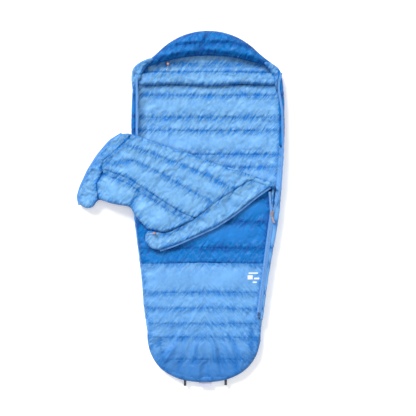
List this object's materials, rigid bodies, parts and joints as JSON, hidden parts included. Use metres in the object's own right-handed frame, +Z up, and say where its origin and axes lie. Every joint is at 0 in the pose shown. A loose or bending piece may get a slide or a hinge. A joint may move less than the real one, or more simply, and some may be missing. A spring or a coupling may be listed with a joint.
{
  "type": "mummy sleeping bag",
  "caption": "Mummy sleeping bag laid flat, with its side zip open and the front panel folded down to show the lining; cupped hood, draft collars, cord locks and foot loops.",
  "frame": {"origin": "on the floor under the middle of the back panel, on the bag's long centre line", "axes": "+X to the full-length zip side, +Y towards the hood, +Z up off the floor"},
  "size_m": [1.231, 2.0897, 0.1417],
  "materials": {
    "navy_shell": "glossy downproof nylon, navy",
    "sky_shell": "glossy downproof nylon, sky blue",
    "sky_lining": "soft sheen nylon lining, sky blue",
    "fill": "lofty fill",
    "zip_tape": "woven tape",
    "zip_coil": "nylon coil",
    "zip_metal": "satin metal",
    "dark_metal": "lacquered navy",
    "pull_webbing": "grosgrain strip",
    "cord": "braided cord",
    "grey_plastic": "satin",
    "orange_plastic": "satin",
    "white_plastic": "satin",
    "loop_webbing": "dark webbing",
    "label_cloth": "satin label"
  },
  "bodies": {
    "bag": {"back_shell_upper": "navy_shell", "back_shell_lower": "sky_shell", "back_fill": "fill", "back_lining": "sky_lining", "side_baffle_right_upper": "navy_shell", "side_baffle_right_lower": "sky_shell", "side_baffle_left_upper": "navy_shell", "side_baffle_left_lower": "sky_shell", "foot_baffle": "sky_shell", "front_shell_chest": "navy_shell", "front_shell_legs": "sky_shell", "front_fill": "fill", "front_lining": "sky_lining", "draft_tube_right": "sky_lining", "draft_tube_left": "sky_lining", "neck_collar": "sky_lining", "zip_tape_base_right": "zip_tape", "zip_coil_base_right": "zip_coil", "zip_tape_front_right": "zip_tape", "zip_coil_front_right": "zip_coil", "zip_stops": "zip_metal", "zip_tape_base_left": "zip_tape", "zip_coil_base_left": "zip_coil", "hang_loop_left": "loop_webbing", "hang_loop_right": "loop_webbing", "care_label": "label_cloth"},
    "flap": {"flap_shell": "navy_shell", "flap_fill": "fill", "flap_lining": "sky_lining", "flap_collar": "sky_lining", "flap_zip_facing": "sky_lining", "flap_side_facing": "sky_lining", "flap_zip_tape_right": "zip_tape", "flap_zip_coil_right": "zip_coil", "flap_zip_tape_left": "zip_tape", "flap_zip_coil_left": "zip_coil", "collar_cord": "cord", "collar_cord_end": "grey_plastic"},
    "collar_lock": {"collar_lock_barrel": "grey_plastic"},
    "collar_button": {"collar_lock_button": "orange_plastic"},
    "hood": {"hood_shell": "navy_shell", "hood_fill": "fill", "hood_lining": "sky_lining", "hood_side_baffle": "navy_shell", "brim_lining": "sky_lining", "brim_fill": "fill", "brim_shell": "navy_shell", "hood_cord": "cord", "hood_cord_end": "white_plastic", "hood_cord_short": "cord", "hood_cord_short_end": "orange_plastic"},
    "hood_lock": {"hood_lock_barrel": "grey_plastic"},
    "hood_button": {"hood_lock_button": "orange_plastic"},
    "main_slider": {"slider_main": "zip_metal"},
    "main_pull": {"slider_main_pull": "zip_metal", "slider_main_strip": "pull_webbing"},
    "foot_slider": {"slider_foot": "dark_metal"},
    "foot_pull": {"slider_foot_pull": "dark_metal"},
    "left_slider": {"slider_left": "dark_metal", "slider_left_pull": "dark_metal"}
  },
  "joints": [
    {"name": "flap_fold", "type": "hinge", "parent": "bag", "child": "flap", "pos_m": [-0.45, 0.432, 0.103], "axis": [-0.9449, 0.3275, 0], "range_deg": [0, 165]},
    {"name": "hood_tilt", "type": "hinge", "parent": "bag", "child": "hood", "pos_m": [0, 0.8, 0.03], "axis": [1, 0, 0], "range_deg": [0, 40]},
    {"name": "main_zip_slide", "type": "slide", "parent": "bag", "child": "main_slider", "axis": [-0.13, -0.9915, 0], "range_m": [0, 0.25]},
    {"name": "main_pull_hinge", "type": "hinge", "parent": "main_slider", "child": "main_pull", "pos_m": [0.37444, -0.0349, 0.0924], "axis": [-0.9915, 0.13, 0], "range_deg": [0, 150]},
    {"name": "foot_zip_slide", "type": "slide", "parent": "bag", "child": "foot_slider", "axis": [0.13, 0.9915, 0], "range_m": [0, 0.25]},
    {"name": "foot_pull_hinge", "type": "hinge", "parent": "foot_slider", "child": "foot_pull", "pos_m": [0.29696, -0.62593, 0.0924], "axis": [-0.9915, 0.13, 0], "range_deg": [0, 150]},
    {"name": "left_zip_slide", "type": "slide", "parent": "bag", "child": "left_slider", "axis": [0, 1, 0], "range_m": [0, 0.45]},
    {"name": "hood_lock_slide", "type": "slide", "parent": "hood", "child": "hood_lock", "axis": [0, -1, 0], "range_m": [0, 0.012]},
    {"name": "hood_button_press", "type": "slide", "parent": "hood_lock", "child": "hood_button", "axis": [0, 0, -1], "range_m": [0, 0.003], "stiffness_N_per_m": 400},
    {"name": "collar_lock_slide", "type": "slide", "parent": "flap", "child": "collar_lock", "axis": [-1, 0, 0], "range_m": [0, 0.01]},
    {"name": "collar_button_press", "type": "slide", "parent": "collar_lock", "child": "collar_button", "axis": [0, 0, -1], "range_m": [0, 0.003], "stiffness_N_per_m": 400}
  ]
}
